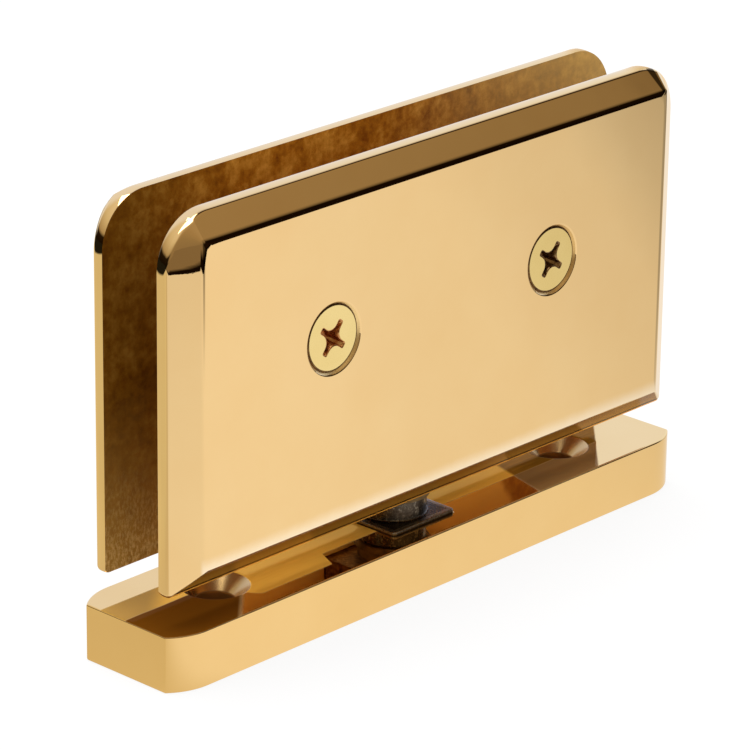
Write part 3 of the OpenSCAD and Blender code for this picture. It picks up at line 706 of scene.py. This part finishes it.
# The paper. Its places are in millimetres from the middle of the hinge.
paper = Finish("white_paper")
x, y, _ = paper.place()
diagonal = x - y
fall = paper.ramp(paper.slope(x - 0.8 * abs(y), -50, 150), (0.05, 1.0), (0.15, 0.98), (0.25, 0.95),
                  (0.40, 0.93), (0.545, 0.845), (0.64, 0.81), (0.74, 0.65), (1.0, 0.40))
fall = paper.add("ShaderNodeMix", {}, {0: paper.step(y, -30, 20), 2: fall, 3: 0.97})
fall = fall * paper.slope(diagonal, -420, -360, 0.02, 1.0) * paper.slope(x, -130, -50, 0.86, 1.0)
beyond = paper.mix(paper.step(diagonal, -160, -90), (0.89, 0.85, 0.64), (0.79, 0.74, 0.58))
lit = paper.mix(paper.step(diagonal, -35, -62), WHITE, beyond)
dusk = paper.mix(paper.slope(x, -40, 20), (0.29, 0.225, 0.145), SHADE)
depth = paper.slope(y, -360, -160)
seam = paper.ramp(depth, (0.50, WHITE), (0.64, SEAM), (0.727, SEAM), (0.733, WHITE))
light = paper.mix(paper.ramp(depth, (0.727, 0.0), (0.731, 1.0)), dusk, lit)
light = paper.add("ShaderNodeVectorMath", {"operation": "MULTIPLY"}, {0: light, 1: seam})
light = paper.add("ShaderNodeVectorMath", {"operation": "SCALE"}, {0: light, "Scale": fall})
sheet = paper.add("ShaderNodeBsdfDiffuse", {}, {"Color": (0.86, 0.86, 0.86, 1)})
white = paper.add("ShaderNodeEmission", {}, {"Color": (*WHITE, 1), "Strength": 1.0})
mirrored = paper.add("ShaderNodeEmission", {}, {"Color": light, "Strength": 1.0})
look = paper.mix_shaders(paper.add("ShaderNodeLightPath", out="Is Camera Ray"), sheet,
                         paper.mix_shaders(0.84, sheet, white))
look = paper.mix_shaders(paper.add("ShaderNodeLightPath", out="Is Glossy Ray"), look, mirrored)
paper.add("ShaderNodeOutputMaterial", {}, {"Surface": look})
sheet_mesh = bpy.data.meshes.new("floor")
sheet_mesh.from_pydata([(-6, -6, 0), (6, -6, 0), (6, 6, 0), (-6, 6, 0)], [], [(0, 1, 2, 3)])
sheet_mesh.materials.append(paper.material)
floor = bpy.data.objects.new("floor", sheet_mesh)
bpy.context.scene.collection.objects.link(floor)

# The room: plain white light, and for reflections a picture of walls and ceiling.
room = Finish("studio_room", world=True)
way = room.add("ShaderNodeTexCoord", out="Generated")
height = room.add("ShaderNodeSeparateXYZ", {}, {"Vector": way}, "Z")


def facing(where, low, high):
    """1 in the directions near where and 0 away from it: the cosine between them, in a step."""
    cosine = room.add("ShaderNodeVectorMath", {"operation": "DOT_PRODUCT"}, {0: way, 1: where},
                      out="Value")
    return room.step(cosine, low, high)


RIGHT, UP = (1, 0, 0), (0, 0, 1)
BEHIND_LEFT, BEHIND_RIGHT, FRONT_LEFT = (-0.707, 0.707, 0), (0.707, 0.707, 0), (-0.707, -0.707, 0)
ceiling, warm = (0.9, 0.88, 0.85), (0.40, 0.31, 0.19)
front = room.ramp(height, (0.0, (0.30, 0.235, 0.15)), (0.5, (0.33, 0.26, 0.16)), (0.70, warm),
                  (0.85, (0.50, 0.42, 0.30)), (1.0, ceiling))
gloom = room.ramp(height, (0.30, (0.008, 0.004, 0.001)), (0.62, warm))
front = room.mix(facing(RIGHT, 0.1, 0.45), front, room.mix(1.0, front, gloom, "DARKEN"))
beside = room.ramp(height, (0.0, (0.01, 0.006, 0.002)), (0.18, (0.02, 0.012, 0.005)),
                   (0.28, (0.45, 0.38, 0.26)), (0.6, (0.72, 0.68, 0.56)), (1.0, ceiling))
wall = room.mix(facing(RIGHT, 0.6, 0.82), (0.88, 0.98, 1.28), (0.95, 1.13, 1.55))
sky = room.mix(facing(BEHIND_LEFT, 0.0, 0.35), front, beside)
sky = room.mix(facing(BEHIND_RIGHT, 0.3, 0.6), sky, wall)
gap = (facing(BEHIND_RIGHT, 0.22, 0.28) * facing(FRONT_LEFT, -0.42, -0.34)
       * facing(RIGHT, 0.2, 0.5) * facing(UP, 0.3, 0.5))
sky = room.mix(gap, sky, SEAM)
sky = room.mix(room.add("ShaderNodeLightPath", out="Is Glossy Ray"), WHITE, sky)
glow = room.add("ShaderNodeBackground", {}, {"Color": sky, "Strength": 1.0})
room.add("ShaderNodeOutputWorld", {}, {"Surface": glow})
bpy.context.scene.world = room.material

# The lamp, above and a little behind to the left, turned towards the hinge.
lamp_data = bpy.data.lights.new("soft_lamp", "AREA")
lamp_data.shape, lamp_data.size, lamp_data.size_y, lamp_data.energy = "RECTANGLE", 1.0, 0.8, 9
lamp = bpy.data.objects.new("soft_lamp", lamp_data)
lamp.location = (-0.1, 0.15, 1.1)
lamp.rotation_euler = (-lamp.location).to_track_quat("-Z", "Y").to_euler()
bpy.context.scene.collection.objects.link(lamp)

# The camera looks at a target from a distance, both in metres: turned to the left of the front,
# raised, and tilted a little about its own axis.
turn, rise, roll = math.radians(47.11), math.radians(21.19), math.radians(0.8)
target, distance = Vector((-0.00487, 0, 0.03759)), 0.7344
back = Vector((-math.sin(turn) * math.cos(rise), -math.cos(turn) * math.cos(rise),
               math.sin(rise)))
level = Vector((math.cos(turn), -math.sin(turn), 0))
upright = back.cross(level)
across = math.cos(roll) * level + math.sin(roll) * upright
over = math.cos(roll) * upright - math.sin(roll) * level
camera = bpy.data.objects.new("camera", bpy.data.cameras.new("camera"))
camera.data.lens, camera.data.sensor_width, camera.data.clip_start = 203.32, 36, 0.01
camera.matrix_world = (Matrix.Translation(target + distance * back)
                       @ Matrix((across, over, back)).transposed().to_4x4())
bpy.context.scene.collection.objects.link(camera)
bpy.context.scene.camera = camera
bpy.context.scene.view_settings.view_transform = "Standard"
